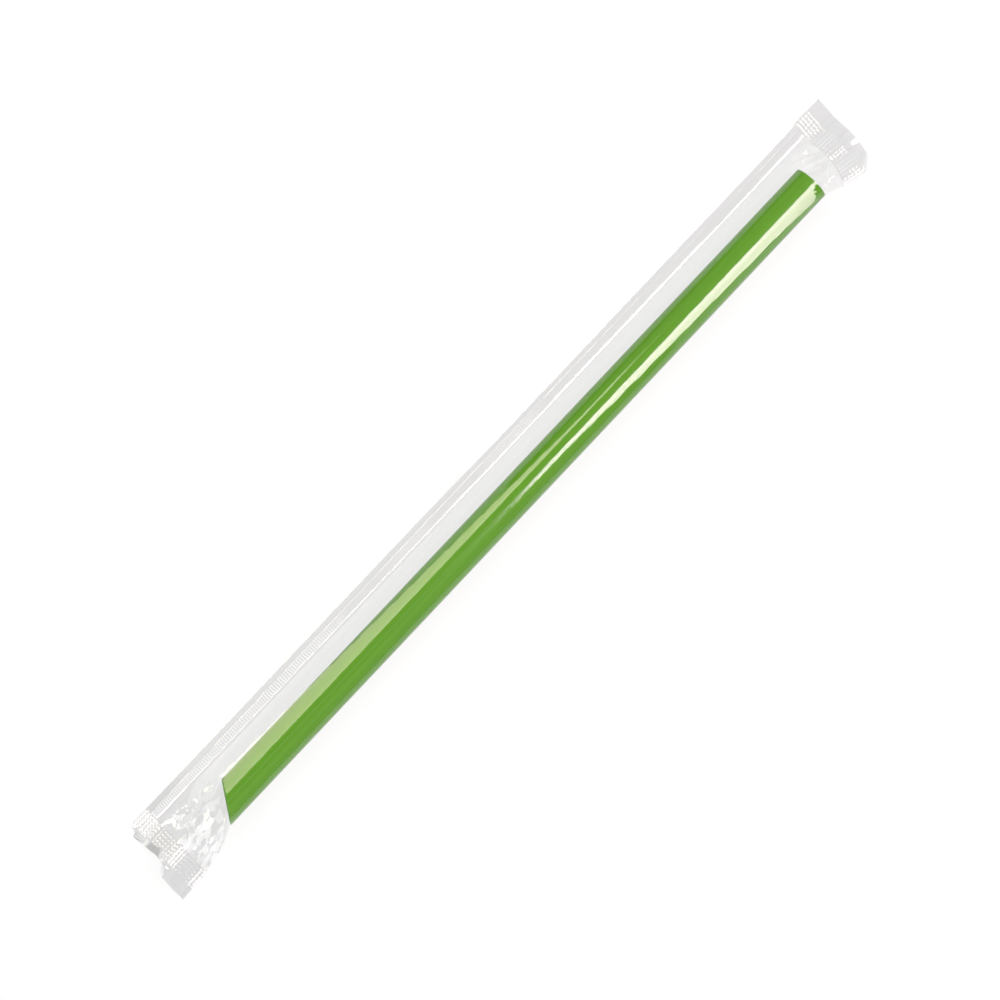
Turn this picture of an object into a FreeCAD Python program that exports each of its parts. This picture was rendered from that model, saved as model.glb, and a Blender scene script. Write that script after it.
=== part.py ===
import FreeCAD, Part
import functools
import math
import os

# Wrapped drinking straw: a wide extruded straw, cut on a slant at one end and square at the other,
# sealed in a clear film. The film is one web, folded lengthwise round the straw. It is sealed along
# the cut edges by ribbed wheels, and across both ends by knurled jaws.
# The pack lies as it comes to rest: the film is flat on the table from under the straw to the side
# seal, wraps the straw, and is drawn down to the seal again.
# X runs from the pointed end to the square end, Y from the fold to the side seal, Z up.
# The origin is at the bottom centre of the pack. Sizes are in millimetres, angles in degrees.

# Straw
straw_length = 228.6
straw_diameter = 10.0
straw_wall = 0.25
point_lean = 35.0

# Film: rooms are from the straw's ends to the film's ends, and the cut edge is level from the axis
film_gauge = 0.03
straw_clearance = 0.10
cut_edge_reach = 14.1
point_end_room = 22.0
square_end_room = 17.6
rest_flat = 0.5

# Side seal: a plain strip at the cut edges, a ribbed band, and a plain strip inside it
seam_edge = 1.7
rib_length = 2.35
seam_inside = 0.55
rib_pitch = 0.77
rib_height = 0.12
rib_hip = 0.3

# End seals: a plain margin at the film's end, rows of small pyramids, and a plain strip inside them
end_margin = 3.8
seal_inside = 0.3
knurl_rows = 5
knurl_pitch = 1.08
knurl_height = 0.18

# How the end seals lie: the heights to which the straw lifts their middle, at the film's end and at
# the inner edge of the seal, their slant, and how early the film fans out from the pointed end
point_humps = (3.4, 3.8)
square_humps = (3.3, 5.2)
point_slant = 3.5
square_slant = 5.5
point_fan = 0.75

# The margin of the pointed end is folded back near the side seal. It starts flat, by as much as the
# first value at the side seal and the second where the fold ends, and then turns over a short bend.
fold_back = 155.0
fold_starts = (2.1, 0.85)
fold_bend = 0.7
fold_end = 10.5
fold_fade = 6.5

# The pointed end's corner at the side seal has shrunk: how far its knurl has moved in, the share of
# the margin that is left, and along how much of the end
corner_draw = 1.1
corner_share = 0.12
corner_span = 2.8

# The square end's margin curls up towards the fold, and its corner there is turned up over a bend
square_curl = 24.0
square_curl_start = 0.25
corner_leg = 4.3
corner_turn = 100.0
corner_bend = 0.9

# Long creases in the film on the straw. Each is the edge of a flat facet that touches the straw at
# a lean from the top. The facet's reach, level with its plane, changes along the straw.
side_crease_lean = 16.0
side_crease_reach = 5.0
side_crease_end = 176.7
fold_crease_start = 140.7
fold_crease_lean = 17.0
fold_crease_end_lean = 5.0
fold_crease_rise = 0.030

# Gathers between the straw's ends and the seals
gather_depth = 0.22
gather_pitch = 3.4

# Number of facets across and along each stretch of the film
flap_facets = 6
arc_facets = 12
side_crease_line = 10
fold_crease_line = 12
margin_rows = 4
point_rows = 6
square_rows = 4
sleeve_rows = 7

# Derived sizes
straw_radius = straw_diameter / 2
seam_width = seam_edge + rib_length + seam_inside
end_seal = end_margin + knurl_rows * knurl_pitch + seal_inside
square_rim = point_end_room + straw_length
film_length = square_rim + square_end_room
facet_angle = math.pi / (2 * arc_facets)
sleeve_radius = (straw_radius + straw_clearance) / math.cos(facet_angle)
rest_angle = math.asin(rest_flat / sleeve_radius)
axis_height = sleeve_radius * math.cos(rest_angle) + film_gauge
part_reach = cut_edge_reach - seam_width
part_radius = math.hypot(part_reach, axis_height - film_gauge)
part_angle = math.atan2(part_reach, film_gauge - axis_height)
touch_angle = math.acos(sleeve_radius / part_radius)
web_half = seam_width + sleeve_radius * (math.tan(touch_angle) + math.pi - touch_angle)
facets_across = flap_facets + arc_facets


def even(start, end, count):
    """Numbers from start to end in equal steps, both ends included."""
    return [start + (end - start) * k / count for k in range(count + 1)]


def ease(share):
    """0 to 1 with a level start and end."""
    share = min(1.0, max(0.0, share))
    return share * share * (3 - 2 * share)


# The straw

def straw():
    """One tube, with its pointed end towards -X and its tip on the side of the fold."""
    along = FreeCAD.Vector(1, 0, 0)
    base = FreeCAD.Vector(point_end_room, 0, axis_height)
    tube = Part.makeCylinder(straw_radius, straw_length, base, along)
    tube = tube.cut(Part.makeCylinder(straw_radius - straw_wall, straw_length, base, along))
    reach = 2 * straw_diameter
    knife = Part.makeBox(reach, 2 * reach, reach, FreeCAD.Vector(-reach, -reach / 2, -reach / 2))
    knife.rotate(FreeCAD.Vector(0, 0, 0), FreeCAD.Vector(0, 0, 1), -point_lean)
    knife.translate(FreeCAD.Vector(point_end_room, -straw_radius, axis_height))
    return tube.cut(knife)


# The film round the straw. Its lines are placed by their angle at the straw's axis: from the top,
# positive towards the side seal. The angle of a line's start is where the film leaves the side seal.

line_turns = even(0, touch_angle, flap_facets)[:-1] + even(touch_angle, math.pi, arc_facets)
line_places = [seam_width + sleeve_radius * (math.tan(touch_angle) - math.tan(max(touch_angle - turn, 0))
                                             + max(turn - touch_angle, 0)) for turn in line_turns]


def side_reach(t):
    """Reach of the facet on the side of the seal, which the film keeps from the pointed end on."""
    share = (side_crease_end - t) / (side_crease_end - point_end_room)
    return side_crease_reach * min(1.0, max(0.0, share))


def fold_facet(t):
    """Lean and reach of the facet on the side of the fold, which widens to the square end."""
    share = min(1.0, max(0.0, (t - fold_crease_start) / (square_rim - fold_crease_start)))
    lean = fold_crease_lean + (fold_crease_end_lean - fold_crease_lean) * share
    return math.radians(-lean), fold_crease_rise * (square_rim - fold_crease_start) * share


def upper_angles(t):
    """Angles of the upper layer's lines. One line keeps to each crease."""
    lean = math.radians(side_crease_lean)
    step = line_turns[side_crease_line] - line_turns[side_crease_line - 1]
    crease = lean + max(step, math.atan2(side_reach(t), sleeve_radius))
    scale = (part_angle - crease) / line_turns[side_crease_line - 1]
    angles = [part_angle - turn * scale for turn in line_turns[:side_crease_line]]
    fold_lean, reach = fold_facet(t)
    angles += even(lean, fold_lean, fold_crease_line - side_crease_line)
    crease = fold_lean - max(step, math.atan2(reach, sleeve_radius))
    return angles + even(crease, part_angle - math.pi, facets_across - fold_crease_line - 1)


def facet_radius(turn, reach):
    """Distance from the axis to a film drawn over the edge of a facet, at a turn past the place
    where the facet touches the straw."""
    top = math.atan2(reach, sleeve_radius)
    if 0 < turn <= top:
        return sleeve_radius / math.cos(turn)
    if top < turn < 2 * top:
        return sleeve_radius / math.cos(2 * top - turn)
    return sleeve_radius


def upper_radius(angle, t):
    """Distance from the straw's axis to the upper layer."""
    lean, reach = math.radians(side_crease_lean), side_reach(t)
    fold_lean, fold_reach = fold_facet(t)
    if angle <= fold_lean:
        return facet_radius(fold_lean - angle, fold_reach)
    crease = lean + math.atan2(reach, sleeve_radius)
    touch = part_angle - touch_angle
    if angle <= crease or 2 * crease - lean < touch:
        drawn = sleeve_radius / math.cos(angle - touch) if angle > touch else sleeve_radius
        return max(facet_radius(angle - lean, reach), drawn)
    out = math.hypot(reach, sleeve_radius)
    return (out * part_radius * math.sin(part_angle - crease)
            / (out * math.sin(angle - crease) + part_radius * math.sin(part_angle - angle)))


@functools.lru_cache(None)
def section(layer, t):
    """Inside of one layer where it holds the straw, as (y, z), from the side seal to the fold."""
    if layer > 0:
        polar = [(angle, upper_radius(angle, t)) for angle in upper_angles(t)]
        polar[-1] = (part_angle - math.pi, sleeve_radius)
    else:
        flat = even(math.atan2(part_reach, axis_height - film_gauge), -rest_angle, flap_facets)
        polar = [(math.pi - turn, (axis_height - film_gauge) / math.cos(turn)) for turn in flat]
        polar += [(angle, sleeve_radius)
                  for angle in even(math.pi + rest_angle, part_angle + math.pi, arc_facets)[1:]]
    return [(radius * math.sin(angle), axis_height + radius * math.cos(angle)) for angle, radius in polar]


@functools.lru_cache(None)
def lifts(layer, t):
    """How the outside of the film stands off its inside at each corner of the section."""
    inside = [FreeCAD.Vector(y, z, 0) for y, z in section(layer, t)]
    past_fold = FreeCAD.Vector(*section(-layer, t)[-2], 0)
    stand = [(0.0, layer * film_gauge)]
    for before, here, after in zip(inside, inside[1:], inside[2:] + [past_fold]):
        into, out = here - before, after - here
        into.normalize()
        out.normalize()
        corner = FreeCAD.Vector(into.y + out.y, -into.x - out.x, 0) * layer
        corner = corner * (film_gauge / corner.dot(FreeCAD.Vector(into.y, -into.x, 0) * layer))
        stand.append((corner.x, corner.y))
    return stand


# The end seals

def slanted(end, t, s, share):
    """Place along the pack, with the slant of the end seal, which fades out with the share."""
    slant = point_slant if end == "point" else square_slant
    return t - math.tan(math.radians(slant)) * (s - cut_edge_reach) * share


def seal_line(end, d, s):
    """Middle of the sealed web, d from its cut end and s from its cut edge, as (y, z). Both of its
    edges lie on the table, and the straw lifts its middle."""
    low, high = point_humps if end == "point" else square_humps
    height = low + (high - low) * d / end_seal
    inner = max(0.0, s - seam_width)
    length = web_half - seam_width
    shrink = 1 - (math.pi * height / length)**2 / 4
    return (cut_edge_reach - min(s, seam_width) - inner * shrink,
            film_gauge + height * math.sin(math.pi * inner / length)**2)


def bend(end, s):
    """How the margin is bent: the flat stretch at its start, the length of the bend, its angle."""
    if end == "point":
        share = min(1.0, s / fold_end)
        flat = fold_starts[0] + (fold_starts[1] - fold_starts[0]) * share
        over = min(1.0, s / corner_span) * (1 - ease((s - fold_end) / fold_fade))
        return flat, fold_bend, math.radians(fold_back) * over
    share = (s / web_half - square_curl_start) / (1 - square_curl_start)
    return 0.0, end_margin, math.radians(square_curl) * ease(share)


def bent(end, s, past):
    """Where a place in the margin comes to, as (distance out, height)."""
    flat, length, angle = bend(end, s)
    if past <= flat or angle == 0:
        return past, 0.0
    radius = length / angle
    turn = min(past - flat, length) / radius
    straight = max(0.0, past - flat - length)
    return (flat + radius * math.sin(turn) + straight * math.cos(turn),
            radius * (1 - math.cos(turn)) + straight * math.sin(turn))


def turn_corner(d, s):
    """Turns up the corner of the square end at the fold, about a line across the corner. Returns
    how far the place moves in, along both edges, and how far up."""
    past = (corner_leg - d - (web_half - s)) / math.sqrt(2)
    if past <= 0:
        return 0.0, 0.0
    radius = corner_bend / math.radians(corner_turn)
    turn = min(past, corner_bend) / radius
    straight = max(0.0, past - corner_bend)
    out = radius * math.sin(turn) + straight * math.cos(turn)
    return (past - out) / math.sqrt(2), radius * (1 - math.cos(turn)) + straight * math.sin(turn)


def seal_point(end, d, s):
    """Middle of the sealed web, d from the film's cut end and s from its cut edge, as (x, y, z)."""
    y, z = seal_line(end, d, s)
    out, up = bent(end, s, end_margin - d)
    if end == "point":
        shrunk = max(0.0, 1 - s / corner_span)
        if d < end_margin:
            left = 1 - (1 - corner_share) * shrunk
            out, up = out * left, up * left
        back = end_margin - out + corner_draw * shrunk * min(1.0, (end_seal - d) / (end_seal - end_margin))
        return (slanted(end, back, s, 1), y, z + up)
    move, rise = turn_corner(d, s)
    return (slanted(end, film_length - end_margin + out - move, s, 1), y + move, z + up + rise)


def seal_face(end, d, s, offset):
    """A point that stands off the middle of the sealed web along its normal."""
    step = film_gauge
    along = FreeCAD.Vector(*seal_point(end, d + step, s)) - FreeCAD.Vector(*seal_point(end, d - step, s))
    across = FreeCAD.Vector(*seal_point(end, d, s + step)) - FreeCAD.Vector(*seal_point(end, d, s - step))
    normal = across.cross(along) if end == "point" else along.cross(across)
    normal.normalize()
    return tuple(FreeCAD.Vector(*seal_point(end, d, s)) + normal * offset)


def seal_fold(end, d):
    """The outside of the fold where the web is sealed."""
    middle = FreeCAD.Vector(*seal_point(end, d, web_half))
    outward = middle - FreeCAD.Vector(*seal_point(end, d, web_half - film_gauge))
    outward.normalize()
    return tuple(middle + outward * film_gauge)


# The film between the two end seals

def rim_place(y):
    """Where the film leaves the pointed rim and starts to flatten: it follows the slanted cut."""
    y = min(straw_radius, max(-straw_radius, y))
    return point_end_room - straw_clearance + (y + straw_radius) * math.tan(math.radians(point_lean))


def flattening(t, rim):
    """How far the film has flattened at t: 0 along the straw, 1 at the end seals."""
    left = (rim - t) / (rim - end_seal)
    square_start = square_rim + straw_clearance
    right = (t - square_start) / (film_length - end_seal - square_start)
    return min(1.0, max(0.0, left, right))


def stations(rim):
    """Places along one line of the web."""
    square_start = square_rim + straw_clearance
    return (even(end_seal, rim, point_rows)[:-1] + even(rim, square_start, sleeve_rows)[:-1]
            + even(square_start, film_length - end_seal, square_rows))


def fold_lift(end, s):
    """How the outside of the fold stands off the web's end where it meets the end seal: in line
    with the last facet, which starts at s. The inside stops short of it by as much."""
    before, fold = seal_line(end, end_seal, s), seal_line(end, end_seal, web_half)
    width = math.dist(before, fold)
    return tuple(2 * film_gauge * (b - a) / width for a, b in zip(before, fold))


def web_line(layer, j, outside):
    """One line of the web, from end seal to end seal, as [(t, (x, y, z)), ...]."""
    s = line_places[j]
    rim = rim_place(section(layer, point_end_room)[j][0])
    line = []
    for t in stations(rim):
        share = flattening(t, rim)
        end = "point" if t < film_length / 2 else "square"
        y_round, z_round = section(layer, t)[j]
        y_seal, z_seal = seal_line(end, end_seal, s)
        fan = share**point_fan if end == "point" else share
        gather = math.sin(2 * math.pi * s / gather_pitch + layer)
        gather *= math.sin(math.pi * share) * math.sin(math.pi * j / facets_across)
        y = y_round + (y_seal - y_round) * fan
        z = z_round + (z_seal - z_round) * share * (1 - gather_depth * gather * (1 - share))
        y_lift, z_lift = lifts(layer, t)[j] if outside else (0.0, 0.0)
        seal_lift = (0.0, layer * film_gauge) if outside else (0.0, 0.0)
        past = 0.0
        if j == facets_across:
            sign = 1 if outside else -1
            seal_lift = tuple(sign * c for c in fold_lift(end, line_places[j - 1]))
            past = -seal_lift[0]
        y += y_lift + (seal_lift[0] - y_lift) * share
        z += z_lift + (seal_lift[1] - z_lift) * share
        line.append((t, (slanted(end, t, s + past, share), y, z)))
    return line


# Facets

class Facets:
    """Triangles over shared corners."""

    def __init__(self):
        self.corners = []
        self.index = {}
        self.triangles = []

    def corner(self, point):
        key = tuple(round(c, 6) for c in point)
        if key not in self.index:
            self.index[key] = len(self.corners)
            self.corners.append(FreeCAD.Vector(*point))
        return self.index[key]

    def triangle(self, a, b, c, flip):
        corners = [self.corner(point) for point in (a, b, c)]
        if len(set(corners)) == 3:
            self.triangles.append(tuple(corners[::-1] if flip else corners))

    def strip(self, left, right, flip):
        """The strip between two lines, each a list of (place along it, point)."""
        i = j = 0
        while i < len(left) - 1 or j < len(right) - 1:
            if j == len(right) - 1 or i < len(left) - 1 and left[i + 1][0] <= right[j + 1][0]:
                self.triangle(left[i][1], left[i + 1][1], right[j][1], flip)
                i += 1
            else:
                self.triangle(left[i][1], right[j + 1][1], right[j][1], flip)
                j += 1

    def quads(self, left, right, flip, outward=True):
        """The strip between two lines that have as many points. Its cells are halved along lines
        that run outwards or inwards from the middle of the strip."""
        count = len(left) - 1
        for k in range(count):
            a, b = left[k][1], left[k + 1][1]
            c, d = right[k + 1][1], right[k][1]
            if (k < count / 2) == outward:
                self.triangle(a, b, c, flip)
                self.triangle(a, c, d, flip)
            else:
                self.triangle(a, b, d, flip)
                self.triangle(b, c, d, flip)

    def shell(self):
        shape = Part.Shape()
        tolerance = film_gauge / 100
        shape.makeShapeFromMesh((self.corners, self.triangles), tolerance, True)
        return shape


def sleeve_faces(facets, outside):
    for layer in (1, -1):
        lines = [web_line(layer, j, outside) for j in range(facets_across + 1)]
        for j in range(facets_across):
            flip = (layer > 0) == outside
            facets.quads(lines[j], lines[j + 1], flip, j < facets_across / 2)


def seam_point(t, s, height):
    """A point of the side seal, which lies flat on the table."""
    end = "point" if t < film_length / 2 else "square"
    share = flattening(t, rim_place(part_reach))
    return (slanted(end, t, s, share), cut_edge_reach - s, film_gauge + height)


def seam_line(layer, s, places):
    return [(t, seam_point(t, s, layer * film_gauge)) for t in places]


def side_seal(facets):
    """The ribbed band along the cut edges. Its ribs stand up from the upper side, and the lower
    side is hollow under them."""
    edge_places = stations(rim_place(part_reach))
    count = round((film_length - 2 * end_seal) / rib_pitch)
    rib_places = even(end_seal, film_length - end_seal, count)
    near, far = seam_edge, seam_edge + rib_length
    for layer in (1, -1):
        flip = layer > 0
        edge = seam_line(layer, 0, edge_places)
        outer = seam_line(layer, near, rib_places)
        inner = seam_line(layer, far, rib_places)
        facets.strip(edge, outer, flip)
        facets.strip(inner, web_line(layer, 0, True), flip)
        for k in range(count):
            crest = (rib_places[k] + rib_places[k + 1]) / 2
            top = layer * film_gauge + rib_height
            ridge_out = seam_point(crest, near + rib_hip, top)
            ridge_in = seam_point(crest, far - rib_hip, top)
            a, b = outer[k][1], inner[k][1]
            c, d = inner[k + 1][1], outer[k + 1][1]
            facets.triangle(a, b, ridge_in, not flip)
            facets.triangle(a, ridge_in, ridge_out, not flip)
            facets.triangle(b, c, ridge_in, not flip)
            facets.triangle(c, d, ridge_out, not flip)
            facets.triangle(c, ridge_out, ridge_in, not flip)
            facets.triangle(d, a, ridge_out, not flip)
    facets.quads(seam_line(1, 0, edge_places), seam_line(-1, 0, edge_places), False)


def row_places(end, s):
    """Distances from the film's cut end of the rows of corners in the margin."""
    if end == "square":
        return even(0, end_margin, margin_rows)
    flat, length, angle = bend(end, s)
    return [0.0, end_margin - flat - length, end_margin - flat - length / 2, end_margin - flat, end_margin]


def end_row(end, layer, row, across):
    """One line of corners across an end seal, from the cut edge to the fold."""
    line = []
    for s in across:
        d = row_places(end, s)[row] if row <= margin_rows else end_margin + (row - margin_rows) * knurl_pitch
        point = seal_fold(end, d) if s == across[-1] else seal_face(end, d, s, layer * film_gauge)
        line.append((s, point))
    return line


def body_row(end, layer):
    """The line where the film between the seals starts, from the cut edge to the fold."""
    t = end_seal if end == "point" else film_length - end_seal
    row = [(s, seam_line(layer, s, [t])[0][1]) for s in (0, seam_edge, seam_edge + rib_length)]
    for j, s in enumerate(line_places):
        line = web_line(layer, j, True)
        row.append((s, line[0 if end == "point" else -1][1]))
    return row


def end_seal_faces(facets, end):
    """A plain margin, and rows of pyramids, which the lower side follows."""
    cells = round(web_half / knurl_pitch)
    across = even(0, web_half, cells)
    rows = {}
    for layer in (1, -1):
        flip = (layer > 0) == (end == "square")
        rows[layer] = [end_row(end, layer, row, across) for row in range(margin_rows + knurl_rows + 1)]
        for near, far in zip(rows[layer][:margin_rows], rows[layer][1:]):
            facets.quads(near, far, flip)
        knurl = rows[layer][margin_rows:]
        for r in range(knurl_rows):
            for c in range(cells):
                base = [knurl[r][c][1], knurl[r][c + 1][1], knurl[r + 1][c + 1][1], knurl[r + 1][c][1]]
                middle = end_margin + (r + 0.5) * knurl_pitch
                apex = seal_face(end, middle, (across[c] + across[c + 1]) / 2,
                                 layer * film_gauge + knurl_height)
                for a, b in zip(base, base[1:] + base[:1]):
                    facets.triangle(a, b, apex, flip)
        facets.strip(knurl[-1], body_row(end, layer), flip)
    facets.quads(rows[1][0], rows[-1][0], end == "point")
    edges = {layer: [(d, row[0][1]) for d, row in enumerate(rows[layer] + [body_row(end, layer)])]
             for layer in (1, -1)}
    facets.quads(edges[1], edges[-1], end == "square")


def film():
    outside, cavity = Facets(), Facets()
    sleeve_faces(outside, True)
    side_seal(outside)
    end_seal_faces(outside, "point")
    end_seal_faces(outside, "square")
    sleeve_faces(cavity, False)
    print(len(outside.triangles), len(cavity.triangles))
    solid = Part.Solid(outside.shell())
    return Part.Solid(Part.Compound(solid.Shells + cavity.shell().Shells))


os.makedirs("parts", exist_ok=True)
wrapper = film()
middle = FreeCAD.Vector(-wrapper.BoundBox.Center.x, -wrapper.BoundBox.Center.y, 0)
for name, piece in (("straw", straw()), ("film_wrapper", wrapper)):
    piece.translate(middle)
    piece.exportStep("parts/" + name + ".step")
    print(name, piece.isValid(), round(piece.Volume, 3), piece.BoundBox)
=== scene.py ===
import math
import bmesh
import bpy
import numpy as np
from mathutils import Matrix, Vector


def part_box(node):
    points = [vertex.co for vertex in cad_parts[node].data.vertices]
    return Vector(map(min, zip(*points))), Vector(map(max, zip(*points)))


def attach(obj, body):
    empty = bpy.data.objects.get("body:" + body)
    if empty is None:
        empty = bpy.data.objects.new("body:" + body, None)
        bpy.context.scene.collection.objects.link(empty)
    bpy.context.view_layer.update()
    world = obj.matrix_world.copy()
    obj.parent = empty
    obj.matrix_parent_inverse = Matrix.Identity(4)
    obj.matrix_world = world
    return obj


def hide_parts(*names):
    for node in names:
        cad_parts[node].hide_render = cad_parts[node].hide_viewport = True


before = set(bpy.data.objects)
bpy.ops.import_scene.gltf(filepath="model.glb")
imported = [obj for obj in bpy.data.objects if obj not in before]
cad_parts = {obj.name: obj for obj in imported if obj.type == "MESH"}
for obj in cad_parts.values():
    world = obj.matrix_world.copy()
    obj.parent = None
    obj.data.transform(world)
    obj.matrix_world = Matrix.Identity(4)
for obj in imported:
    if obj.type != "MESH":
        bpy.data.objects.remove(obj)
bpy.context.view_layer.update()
MM = 0.001


# The straw: one extruded polypropylene tube, coloured right through. Its pointed end is cut on a
# slant with the tip on the folded side of the wrapper, and its other end is cut square.
straw_low, straw_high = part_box("straw")
straw_radius = (straw_high[1] - straw_low[1]) / 2
axis_y = (straw_high[1] + straw_low[1]) / 2
axis_z = (straw_high[2] + straw_low[2]) / 2
tip_x = straw_low[0]
square_x = straw_high[0]
straw_wall = 0.25 * MM
point_lean = math.radians(35)
straw_sides = 192
cut_tolerance = 1e-7
crease_angle = math.radians(40)


def straw_tube():
    """The tube as an open skin: a ring drawn out along X, then cut at the tip."""
    bm = bmesh.new()
    start = tip_x - straw_radius
    turn = Matrix.Rotation(math.radians(90), 4, "Y")
    ring = bmesh.ops.create_circle(
        bm, segments=straw_sides, radius=straw_radius,
        matrix=Matrix.Translation((start, axis_y, axis_z)) @ turn)
    drawn = bmesh.ops.extrude_edge_only(bm, edges=bm.edges[:])
    far = [v for v in drawn["geom"] if isinstance(v, bmesh.types.BMVert)]
    bmesh.ops.translate(bm, verts=far, vec=(square_x - start, 0, 0))
    slant = Vector((-math.cos(point_lean), math.sin(point_lean), 0))
    bmesh.ops.bisect_plane(
        bm, geom=bm.verts[:] + bm.edges[:] + bm.faces[:], dist=cut_tolerance,
        plane_co=(tip_x, axis_y - straw_radius, axis_z), plane_no=slant, clear_outer=True)
    bmesh.ops.recalc_face_normals(bm, faces=bm.faces[:])
    outward = bm.faces[0].calc_center_median() - Vector((0, axis_y, axis_z))
    if bm.faces[0].normal.dot(Vector((0, outward.y, outward.z))) < 0:
        bmesh.ops.reverse_faces(bm, faces=bm.faces[:])
    return bm


def new_piece(name, bm, material, crease=crease_angle):
    """A smooth-shaded object at the origin, on the one body of the pack."""
    mesh = bpy.data.meshes.new(name)
    bm.to_mesh(mesh)
    bm.free()
    mesh.shade_smooth()
    mesh.set_sharp_from_angle(angle=crease)
    mesh.materials.append(material)
    piece = bpy.data.objects.new(name, mesh)
    bpy.context.scene.collection.objects.link(piece)
    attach(piece, "root")
    return piece


def straw_plastic():
    """Glossy green plastic with faint die lines that run along the tube."""
    material = bpy.data.materials.new("straw_plastic")
    material.use_nodes = True
    nodes, links = material.node_tree.nodes, material.node_tree.links
    shader = nodes["Principled BSDF"]
    shader.inputs["Roughness"].default_value = 0.16
    shader.inputs["IOR"].default_value = 1.49
    shader.inputs["Specular IOR Level"].default_value = 0.18
    place = nodes.new("ShaderNodeTexCoord")
    stretch = nodes.new("ShaderNodeMapping")
    stretch.inputs["Scale"].default_value = (4.0, 900.0, 900.0)
    lines = nodes.new("ShaderNodeTexNoise")
    lines.inputs["Scale"].default_value = 1.0
    lines.inputs["Detail"].default_value = 3.0
    tint = nodes.new("ShaderNodeMix")
    tint.data_type = "RGBA"
    tint.inputs["A"].default_value = (0.104, 0.310, 0.011, 1)
    tint.inputs["B"].default_value = (0.134, 0.375, 0.016, 1)
    bump = nodes.new("ShaderNodeBump")
    bump.inputs["Strength"].default_value = 0.15
    bump.inputs["Distance"].default_value = 0.02 * MM
    links.new(place.outputs["Object"], stretch.inputs["Vector"])
    links.new(stretch.outputs["Vector"], lines.inputs["Vector"])
    links.new(lines.outputs["Fac"], tint.inputs["Factor"])
    links.new(tint.outputs["Result"], shader.inputs["Base Color"])
    links.new(lines.outputs["Fac"], bump.inputs["Height"])
    links.new(bump.outputs["Normal"], shader.inputs["Normal"])
    return material


tube = straw_tube()
bmesh.ops.solidify(tube, geom=tube.faces[:], thickness=straw_wall)
straw = new_piece("green_straw", tube, straw_plastic())
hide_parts("straw")


# The wrapper's sleeve: the stretch of clear film that holds the straw, and the gathers at its ends.
# The film lies flat on the table from under the straw to the side seal, wraps the straw, and is
# drawn down from it to the seal again. It is polypropylene film, folded lengthwise, 0.03 mm thick.
film_gauge = 0.03 * MM
slack = 0.10 * MM
sleeve_radius = straw_radius + slack + film_gauge
seam_width = 4.6 * MM
cut_edge_reach = 14.1 * MM
part_y = axis_y + cut_edge_reach - seam_width
end_margin = 3.8 * MM
end_seal = 9.5 * MM
point_end_x = tip_x - 22.0 * MM
square_end_x = square_x + 17.6 * MM
left_seal_x = point_end_x + end_seal
right_seal_x = square_end_x - end_seal
part_angle = math.atan2(part_y - axis_y, film_gauge - axis_z)
part_radius = math.hypot(part_y - axis_y, film_gauge - axis_z)
touch_angle = math.acos(sleeve_radius / part_radius)
web_half = seam_width + sleeve_radius * (math.tan(touch_angle) + math.pi - touch_angle)
edge_round = 0.05 * MM
nearly_zero = 1e-12

# The two long creases: each is the edge of a flat facet whose plane touches the straw at the given
# angle from the top. One facet runs from the pointed end, the other widens to the square end.
side_crease_lean = math.radians(16)
side_crease_reach = 5.0 * MM
side_crease_end = tip_x + 154.7 * MM
fold_crease_start = tip_x + 118.7 * MM
fold_crease_leans = (math.radians(-17), math.radians(-5))
fold_crease_rise = 0.030
fold_crease_back = 20 * MM
fold_crease_back_share = 0.5
fold_crease_stop = math.pi - 0.02


def ease(share):
    share = np.clip(share, 0, 1)
    return share * share * (3 - 2 * share)


def facet_radius(turn, reach):
    """Distance from the straw's axis to film that is drawn over the edge of a flat facet, at a turn
    past the place where the facet touches the straw. The facet reaches that far to its edge."""
    top = np.arctan2(reach, sleeve_radius)
    near = (turn > 0) & (turn <= top)
    far = (turn > top) & (turn < 2 * top)
    return np.where(near, sleeve_radius / np.cos(np.where(near, turn, 0)),
                    np.where(far, sleeve_radius / np.cos(np.where(far, 2 * top - turn, 0)), 0))


def sleeve_point(x, psi):
    """The film round the straw, as (y, z), at psi round from the side seal: up and over the straw
    where psi is above 0, and along the table and under it where psi is below 0."""
    phi = part_angle - psi
    spread = np.abs(psi)
    drawn = spread < touch_angle
    radius = sleeve_radius / np.cos(np.where(drawn, touch_angle - spread, 0))
    reach = np.clip((side_crease_end - x) / (side_crease_end - tip_x), 0, 1) * side_crease_reach
    radius = np.maximum(radius, np.where(psi > 0, facet_radius(phi - side_crease_lean, reach), 0))
    crease = side_crease_lean + np.arctan2(reach, sleeve_radius)
    out = np.hypot(reach, sleeve_radius)
    between = (psi > 0) & (phi > crease)
    from_crease = out * np.sin(np.where(between, phi - crease, 0))
    from_seam = part_radius * np.sin(part_angle - phi)
    line = out * part_radius * np.sin(part_angle - crease) / (from_crease + from_seam + nearly_zero)
    radius = np.where(between, np.maximum(radius, np.minimum(line, part_radius)), radius)
    share = np.clip((x - fold_crease_start) / (square_x - fold_crease_start), 0, 1)
    back = fold_crease_back_share * ease((x - square_x) / fold_crease_back + 1)
    start_lean, end_lean = fold_crease_leans
    lean = start_lean + (end_lean - start_lean) * (share - back)
    lift = fold_crease_rise * np.maximum(0, x - fold_crease_start)
    lift = np.minimum(lift, np.maximum(0, square_x - x))
    folded = np.where((psi > 0) & (psi < fold_crease_stop), facet_radius(lean - phi, lift), 0)
    radius = np.maximum(radius, folded)
    return axis_y + radius * np.sin(phi), axis_z + radius * np.cos(phi)


def web_place(psi):
    """Distance of a line of the sleeve from the film's cut edge, measured along the film."""
    spread = np.abs(psi)
    held = np.tan(touch_angle) - np.tan(np.maximum(touch_angle - spread, 0))
    return seam_width + sleeve_radius * (held + np.maximum(spread - touch_angle, 0))


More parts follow.
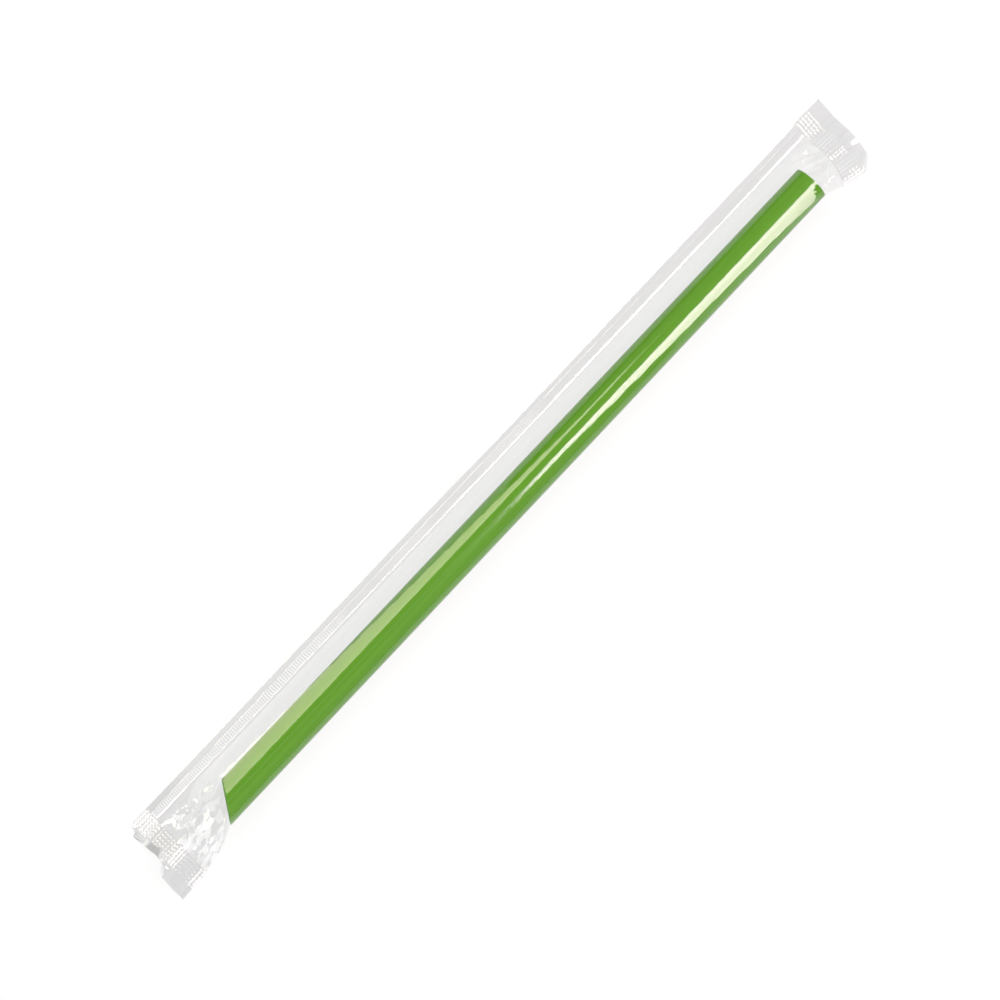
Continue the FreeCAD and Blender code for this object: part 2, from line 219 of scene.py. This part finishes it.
# The lie of the end seals: both their edges are on the table, the straw lifts their middle, and
# they are set at a slant. The pointed end's margin is folded back near the side seal, where the
# corner has shrunk. The square end's margin curls, and its corner at the fold is turned up.
humps = {"point": (3.4 * MM, 3.8 * MM), "square": (3.3 * MM, 5.2 * MM)}
slants = {"point": math.tan(math.radians(3.5)), "square": math.tan(math.radians(5.5))}
point_fan = 0.75
fold_back = math.radians(155)
fold_starts = (2.1 * MM, 0.85 * MM)
fold_bend = 0.7 * MM
fold_end = 10.5 * MM
fold_fade = 6.5 * MM
corner_draw = 1.1 * MM
corner_share = 0.12
corner_span = 2.8 * MM
square_curl = math.radians(24)
square_curl_start = 0.25
corner_leg = 4.3 * MM
corner_turn = math.radians(100)
corner_bend = 0.9 * MM
least_bend = 1e-4


def slanted(x, s, share):
    """The place along the pack of a line across the web, which is set at a slant by that share."""
    slant = np.where(x < 0, slants["point"], slants["square"])
    return x - slant * (s - cut_edge_reach) * share


def seal_line(end, d, s):
    """The middle of the sealed web, d from its cut end and s from its cut edge, as (y, z). The
    hump takes up film, so the web is narrower by the length that its wave needs."""
    low, high = humps[end]
    height = low + (high - low) * d / end_seal
    inner = np.maximum(0, s - seam_width)
    length = web_half - seam_width
    shrink = 1 - (math.pi * height / length)**2 / 4
    y = axis_y + cut_edge_reach - np.minimum(s, seam_width) - inner * shrink
    return y, film_gauge + height * np.sin(math.pi * inner / length)**2


def bent(flat, length, angle, past):
    """Where film comes to that lies flat, bends by an angle and runs on, as (distance, height)."""
    radius = length / np.maximum(angle, least_bend)
    turn = np.clip(past - flat, 0, length) / radius
    straight = np.maximum(0, past - flat - length)
    out = np.minimum(past, flat) + radius * np.sin(turn) + straight * np.cos(turn)
    return out, radius * (1 - np.cos(turn)) + straight * np.sin(turn)


def seal_middle(end, d, s):
    """The middle of the sealed web, as (x, y, z), with its folds and curls."""
    y, z = seal_line(end, d, s)
    past = end_margin - d
    if end == "point":
        flat = fold_starts[0] + (fold_starts[1] - fold_starts[0]) * np.minimum(1, s / fold_end)
        angle = fold_back * np.minimum(1, s / corner_span) * (1 - ease((s - fold_end) / fold_fade))
        out, up = bent(flat, fold_bend, angle, past)
        shrunk = np.maximum(0, 1 - s / corner_span)
        left = np.where(past > 0, 1 - (1 - corner_share) * shrunk, 1)
        pull = corner_draw * shrunk * np.minimum(1, (end_seal - d) / (end_seal - end_margin))
        return slanted(point_end_x + end_margin - out * left + pull, s, 1), y, z + up * left
    curled = ease((s / web_half - square_curl_start) / (1 - square_curl_start))
    out, up = bent(0, end_margin, square_curl * curled, past)
    beyond = np.maximum(0, (corner_leg - d - (web_half - s)) / math.sqrt(2))
    turned, rise = bent(0, corner_bend, corner_turn, beyond)
    move = (beyond - turned) / math.sqrt(2)
    return slanted(square_end_x - end_margin + out - move, s, 1), y + move, z + up + rise


def flattening(x, y_round):
    """How far the film has flattened: 0 along the straw, 1 at the end seals."""
    y = np.clip(y_round - axis_y, -straw_radius, straw_radius)
    rim = tip_x - slack + (y + straw_radius) * math.tan(point_lean)
    left = (rim - x) / (rim - left_seal_x)
    right = (x - square_x - slack) / (right_seal_x - square_x - slack)
    return np.clip(np.maximum(left, right), 0, 1)


def web_point(x, psi):
    """The film between the end seals, as (x, y, z)."""
    y_round, z_round = sleeve_point(x, psi)
    share = flattening(x, y_round)
    s = web_place(psi)
    left = seal_line("point", end_seal, s)
    right = seal_line("square", end_seal, s)
    y_seal = np.where(x < 0, left[0], right[0])
    z_seal = np.where(x < 0, left[1], right[1])
    fan = np.where(x < 0, share**point_fan, share)
    stand = film_gauge * np.sign(psi) * share * np.minimum(1, (web_half - s) / (2 * edge_round))
    return (slanted(x, s, share), y_round + (y_seal - y_round) * fan,
            z_round + (z_seal - z_round) * share + stand)


def film_grid(along, across):
    """A flat grid that a film piece is shaped from. Its corners hold places along and across."""
    bm = bmesh.new()
    bmesh.ops.create_grid(bm, x_segments=len(along) - 1, y_segments=len(across) - 1, size=1)
    bm.verts.ensure_lookup_table()
    flat = np.array([v.co[:2] for v in bm.verts])
    u = np.interp(flat[:, 0], np.linspace(-1, 1, len(along)), along)
    v = np.interp(flat[:, 1], np.linspace(-1, 1, len(across)), across)
    return bm, u, v


def put(bm, points):
    """Moves the grid's corners to their places on the film."""
    for vert, point in zip(bm.verts, np.stack(points, axis=1)):
        vert.co = point


def crumple(bm, x, s, window, seed, low, high, spacing, slope):
    """Presses flat facets with sharp edges into the film, along its own normals, where window is
    above 0. The difference of the squared distances to two sets of random places is flat between
    the lines halfway from place to place."""
    bm.normal_update()
    rng = np.random.default_rng(seed)
    area = (high[0] - low[0]) * (high[1] - low[1])
    count = int(area / spacing**2 / facet_stretch)
    nearest = []
    for _ in range(2):
        sites = rng.uniform(low, high, (count, 2))
        off = ((x[:, None] - sites[:, 0]) / facet_stretch)**2 + (s[:, None] - sites[:, 1])**2
        nearest.append(off.min(axis=1))
    height = (nearest[0] - nearest[1]) * slope / (2 * spacing)
    for vert, h in zip(bm.verts, height * window):
        vert.co += vert.normal * h


def mirror_share(nodes, links, along, at_point):
    """How much the film mirrors along the pack, and more at the pointed end, where it shrank."""
    place = nodes.new("ShaderNodeTexCoord")
    axes = nodes.new("ShaderNodeSeparateXYZ")
    run = nodes.new("ShaderNodeMapRange")
    run.inputs["From Min"].default_value = tip_x + 4 * MM
    run.inputs["From Max"].default_value = tip_x - 5 * MM
    run.inputs["To Min"].default_value = along
    run.inputs["To Max"].default_value = at_point
    links.new(place.outputs["Object"], axes.inputs["Vector"])
    links.new(axes.outputs["X"], run.inputs["Value"])
    return run.outputs["Result"]


def clear_film(name, mirror, point_mirror):
    """Clear glossy film. A little of the light is mirrored, more so at a slant, a little is spread
    by haze, and the rest goes straight through."""
    material = bpy.data.materials.new(name)
    material.use_nodes = True
    nodes, links = material.node_tree.nodes, material.node_tree.links
    nodes.remove(nodes["Principled BSDF"])
    clear = nodes.new("ShaderNodeBsdfTransparent")
    clear.inputs["Color"].default_value = (0.965, 0.965, 0.965, 1)
    gloss = nodes.new("ShaderNodeBsdfPrincipled")
    gloss.inputs["Base Color"].default_value = (1, 1, 1, 1)
    gloss.inputs["Metallic"].default_value = 1.0
    gloss.inputs["Roughness"].default_value = 0.09
    haze = nodes.new("ShaderNodeBsdfDiffuse")
    haze.inputs["Color"].default_value = (0.9, 0.9, 0.9, 1)
    slant = nodes.new("ShaderNodeLayerWeight")
    slant.inputs["Blend"].default_value = 0.5
    steep = nodes.new("ShaderNodeMath")
    steep.operation = "POWER"
    steep.inputs[1].default_value = 3.0
    share = nodes.new("ShaderNodeMath")
    share.operation = "MULTIPLY_ADD"
    share.inputs[1].default_value = 0.2
    hazed = nodes.new("ShaderNodeMixShader")
    hazed.inputs["Fac"].default_value = 0.012
    glossed = nodes.new("ShaderNodeMixShader")
    links.new(clear.outputs["BSDF"], hazed.inputs[1])
    links.new(haze.outputs["BSDF"], hazed.inputs[2])
    links.new(slant.outputs["Facing"], steep.inputs[0])
    links.new(steep.outputs["Value"], share.inputs[0])
    links.new(mirror_share(nodes, links, mirror, point_mirror), share.inputs[2])
    links.new(share.outputs["Value"], glossed.inputs["Fac"])
    links.new(hazed.outputs["Shader"], glossed.inputs[1])
    links.new(gloss.outputs["BSDF"], glossed.inputs[2])
    links.new(glossed.outputs["Shader"], nodes["Material Output"].inputs["Surface"])
    return material


facet_stretch = 1.7
facet_spacing = {"point": 2.6 * MM, "square": 2.4 * MM}
facet_slope = {"point": 0.5, "square": 0.35}
facet_margin = 2 * MM
facet_crease = math.radians(12)
crumpled_past_straw = 1 / 6
crumpled_before_seal = 1 / 5
crumpled_past_seam = 1 / 3
gather_step = 0.3 * MM
straw_stations = 260
square_end_stations = 34
around_stations = 181
weld_gap = 0.002 * MM
film = clear_film("clear_film", mirror=0.050, point_mirror=0.12)
pressed_film = clear_film("pressed_film", mirror=0.11, point_mirror=0.17)
left_hold_x = tip_x + 2 * straw_radius * math.tan(point_lean)
stations = np.concatenate([
    np.arange(left_seal_x, left_hold_x, gather_step),
    np.linspace(left_hold_x, square_x, straw_stations)[:-1],
    np.linspace(square_x, right_seal_x, square_end_stations)])
sleeve, x, psi = film_grid(stations, np.linspace(-math.pi, math.pi, around_stations))
put(sleeve, web_point(x, psi))
flat_share = flattening(x, sleeve_point(x, psi)[0])
window = (np.minimum(1, flat_share / crumpled_past_straw)
          * np.minimum(1, (1 - flat_share) / crumpled_before_seal)
          * np.minimum(1, np.abs(psi) / crumpled_past_seam))
s = web_place(psi) * np.sign(psi + nearly_zero)
crumple(sleeve, x, s, window * (x < 0), seed=7,
        low=(left_seal_x - facet_margin, -web_half), high=(left_hold_x, web_half),
        spacing=facet_spacing["point"], slope=facet_slope["point"])
crumple(sleeve, x, s, window * (x > 0), seed=11,
        low=(square_x, -web_half), high=(right_seal_x + facet_margin, web_half),
        spacing=facet_spacing["square"], slope=facet_slope["square"])
bmesh.ops.remove_doubles(sleeve, verts=sleeve.verts[:], dist=weld_gap)
bmesh.ops.recalc_face_normals(sleeve, faces=sleeve.faces[:])
wrapper_sleeve = new_piece("wrapper_sleeve", sleeve, film, facet_crease)
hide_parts("film_wrapper")


# The side seal: both layers of the film are welded by ribbed wheels along their cut edges. The
# ribs stand up on one side and are hollow on the other. A plain strip is left outside them.
seam_edge = 1.7 * MM
rib_length = 2.35 * MM
rib_pitch = 0.77 * MM
rib_height = 0.14 * MM
rib_count = round((right_seal_x - left_seal_x) / rib_pitch)
rib_steps = 6
rib_end = 0.12 * MM
rib_fullness = 0.8
rib_weakness = 0.25
rib_patches = (9 * MM, 23 * MM)


def rib_rise(x, s):
    """How high the ribs lift the film. They are pressed weakly in places."""
    turn = (x - left_seal_x) / (right_seal_x - left_seal_x) * rib_count * 2 * math.pi
    wave = (0.5 - 0.5 * np.cos(turn))**rib_fullness
    band = ease((s - seam_edge) / rib_end) * ease((seam_edge + rib_length - s) / rib_end)
    patches = np.sin(x / rib_patches[0]) * np.sin(x / rib_patches[1] + 1)
    strength = 1 - rib_weakness + rib_weakness * patches
    return rib_height * wave * band * strength


def seam_point(x, w):
    """The welded strip, as (x, y, z): its upper side where w is above 0, its lower side below."""
    s = np.abs(w)
    share = flattening(x, np.full_like(x, part_y))
    y = axis_y + cut_edge_reach - s
    stand = film_gauge * np.sign(w) * np.minimum(1, s / edge_round)
    return slanted(x, s, share), y, film_gauge + stand + rib_rise(x, s)


rib_close = seam_edge + rib_length
half_seam = np.concatenate([
    [0, edge_round],
    np.linspace(0, seam_edge, 4)[1:],
    [seam_edge + rib_end / 2],
    np.linspace(seam_edge + rib_end, rib_close - rib_end, 6),
    [rib_close - rib_end / 2, rib_close],
    [(rib_close + seam_width) / 2, seam_width]])
across = np.concatenate([-half_seam[:0:-1], half_seam])
seam, x, w = film_grid(np.linspace(left_seal_x, right_seal_x, rib_count * rib_steps + 1), across)
put(seam, seam_point(x, w))
bmesh.ops.recalc_face_normals(seam, faces=seam.faces[:])
side_seal = new_piece("side_seal", seam, pressed_film)
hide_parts("film_wrapper")


# The end seals: both layers are welded across the pack by knurled jaws, which press rows of small
# pyramids, and leave a plain margin with fine cross lines at the end that the knife cuts.
knurl_rows = 5
knurl_pitch = 1.08 * MM
knurl_height = 0.20 * MM
line_pitch = 0.55 * MM
line_height = 0.03 * MM
line_fade = 0.5 * MM
normal_step = 0.02 * MM
seal_cell = 0.14 * MM


def press(d, s):
    """How high the jaws lift the film."""
    cell_d = np.abs((d - end_margin) / knurl_pitch % 1 - 0.5)
    cell_s = np.abs(s / knurl_pitch % 1 - 0.5)
    pyramid = 1 - 2 * np.maximum(cell_d, cell_s)
    knurl = (d > end_margin) & (d < end_margin + knurl_rows * knurl_pitch)
    line = 0.5 - 0.5 * np.cos(2 * math.pi * d / line_pitch)
    fine = line * ease(d / line_fade) * (d < end_margin)
    return np.where(knurl, knurl_height * pyramid, line_height * fine)


def seal_point(end, d, w):
    """The outside of the sealed web. w runs from one cut edge, round the fold at 0, to the other."""
    s = web_half - np.abs(w)
    here = np.stack(seal_middle(end, d, s), axis=1)
    ahead = np.stack(seal_middle(end, d + normal_step, s), axis=1) - here
    across = np.stack(seal_middle(end, d, s - normal_step), axis=1) - here
    normal = np.cross(ahead, across)
    normal /= np.linalg.norm(normal, axis=1)[:, None]
    if end == "square":
        normal = -normal
    thin = np.minimum(1, np.minimum(np.minimum(d, s), np.abs(w)) / edge_round)
    stand = film_gauge * np.sign(w) * thin + press(d, s)
    return tuple((here + normal * stand[:, None]).T)


def end_seal_piece(end):
    rows = round(end_seal / seal_cell)
    columns = 2 * round(web_half / seal_cell)
    along = np.linspace(0, end_seal, rows + 1)
    bm, d, w = film_grid(along, np.linspace(-web_half, web_half, columns + 1))
    put(bm, seal_point(end, d, w))
    bmesh.ops.remove_doubles(bm, verts=bm.verts[:], dist=weld_gap)
    bmesh.ops.recalc_face_normals(bm, faces=bm.faces[:])
    piece = new_piece("end_seal_" + end, bm, pressed_film)
    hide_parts("film_wrapper")


end_seal_piece("point")
end_seal_piece("square")


# The stage: a pale floor that shows as white and keeps the pack's shadow, soft boxes on both sides
# whose reflections lie along the straw, one past the pointed end that picks out the ribs and the
# pyramids, a room with light and dark patches for the film to mirror, and the camera above the pack.
floor_half = 1.5
floor_drop = 0.2 * MM
floor_glow = 0.8


def floor_paint():
    """Pale matt paint that shows as white, with the pack's shadow faint on it."""
    material = bpy.data.materials.new("floor_paint")
    material.use_nodes = True
    nodes, links = material.node_tree.nodes, material.node_tree.links
    shader = nodes["Principled BSDF"]
    white = nodes.new("ShaderNodeEmission")
    path = nodes.new("ShaderNodeLightPath")
    seen = path.outputs["Is Camera Ray"]
    for ray in ("Is Glossy Ray", "Is Transmission Ray"):
        either = nodes.new("ShaderNodeMath")
        either.operation = "MAXIMUM"
        links.new(seen, either.inputs[0])
        links.new(path.outputs[ray], either.inputs[1])
        seen = either.outputs["Value"]
    partly = nodes.new("ShaderNodeMath")
    partly.operation = "MULTIPLY"
    partly.inputs[1].default_value = floor_glow
    both = nodes.new("ShaderNodeMixShader")
    links.new(seen, partly.inputs[0])
    links.new(partly.outputs["Value"], both.inputs["Fac"])
    links.new(shader.outputs["BSDF"], both.inputs[1])
    links.new(white.outputs["Emission"], both.inputs[2])
    links.new(both.outputs["Shader"], nodes["Material Output"].inputs["Surface"])
    shader.inputs["Base Color"].default_value = (0.93, 0.93, 0.93, 1)
    shader.inputs["Roughness"].default_value = 0.9
    shader.inputs["Specular IOR Level"].default_value = 0.1
    return material


def floor():
    bm = bmesh.new()
    place = Matrix.Translation((0, 0, -floor_drop))
    bmesh.ops.create_grid(bm, x_segments=1, y_segments=1, size=floor_half, matrix=place)
    mesh = bpy.data.meshes.new("floor")
    bm.to_mesh(mesh)
    bm.free()
    mesh.materials.append(floor_paint())
    plane = bpy.data.objects.new("floor", mesh)
    bpy.context.scene.collection.objects.link(plane)


def soft_box(name, centre, size, power, aim_x=0, tint=(1, 1, 1), mirrored=True):
    """An area lamp that faces the straw's axis at aim_x. The fill isn't mirrored in the film."""
    lamp = bpy.data.lights.new(name, "AREA")
    lamp.shape = "RECTANGLE"
    lamp.size, lamp.size_y = size
    lamp.energy = power
    lamp.color = tint
    box = bpy.data.objects.new(name, lamp)
    bpy.context.scene.collection.objects.link(box)
    box.location = centre
    box.visible_glossy = mirrored
    away = Vector(centre) - Vector((aim_x, axis_y, axis_z))
    box.rotation_euler = away.to_track_quat("Z", "Y").to_euler()


def camera():
    """The camera's place and aim, found from the straw's ends and edges in the photograph."""
    target = Vector((square_x - 118.493 * MM, axis_y + 2.197 * MM, axis_z))
    tilt, lean, roll = math.radians(6.569), math.radians(-0.301), math.radians(-46.669)
    distance = 1330.3 * MM
    away = Vector((-math.sin(tilt), math.sin(lean) * math.cos(tilt), math.cos(lean) * math.cos(tilt)))
    right = (-away).cross(Vector((0, 1, 0))).normalized()
    up = right.cross(-away)
    turned_right = right * math.cos(roll) + up * math.sin(roll)
    turned_up = up * math.cos(roll) - right * math.sin(roll)
    data = bpy.data.cameras.new("camera")
    data.lens = 182.54
    data.clip_end = 10
    view = bpy.data.objects.new("camera", data)
    bpy.context.scene.collection.objects.link(view)
    turn = Matrix((turned_right, turned_up, away)).transposed().to_4x4()
    view.matrix_world = Matrix.Translation(target + away * distance) @ turn
    bpy.context.scene.camera = view


def patchy_room():
    """A grey room whose walls have soft light and dark patches."""
    world = bpy.data.worlds.new("studio")
    world.use_nodes = True
    nodes, links = world.node_tree.nodes, world.node_tree.links
    direction = nodes.new("ShaderNodeTexCoord")
    patches = nodes.new("ShaderNodeTexNoise")
    patches.inputs["Scale"].default_value = 2.4
    patches.inputs["Detail"].default_value = 2.0
    tones = nodes.new("ShaderNodeMapRange")
    tones.inputs["From Min"].default_value = 0.38
    tones.inputs["From Max"].default_value = 0.62
    tones.inputs["To Min"].default_value = 0.01
    tones.inputs["To Max"].default_value = 0.40
    nodes["Background"].inputs["Color"].default_value = (1, 1, 1, 1)
    links.new(direction.outputs["Generated"], patches.inputs["Vector"])
    links.new(patches.outputs["Fac"], tones.inputs["Value"])
    links.new(tones.outputs["Result"], nodes["Background"].inputs["Strength"])
    bpy.context.scene.world = world


floor()
box_height = 0.6
flap_box_y = box_height * math.tan(math.radians(35))
fold_box_y = -box_height * math.tan(math.radians(20))
soft_box("flap_side_box", (0.03, flap_box_y, box_height), (0.25, 0.16), 0.68,
         aim_x=0.03, tint=(1, 0.92, 0.66))
soft_box("fold_side_box", (0.17, fold_box_y, box_height), (0.18, 0.22), 1.7,
         aim_x=0.17, tint=(1, 0.82, 0.85))
soft_box("point_box", (-0.42, 0, 0.45), (0.90, 0.32), 1.3)
soft_box("fill", (0.9, 0, 1.6), (2.0, 2.0), 20, mirrored=False)
patchy_room()
bpy.context.scene.view_settings.view_transform = "Standard"
camera()
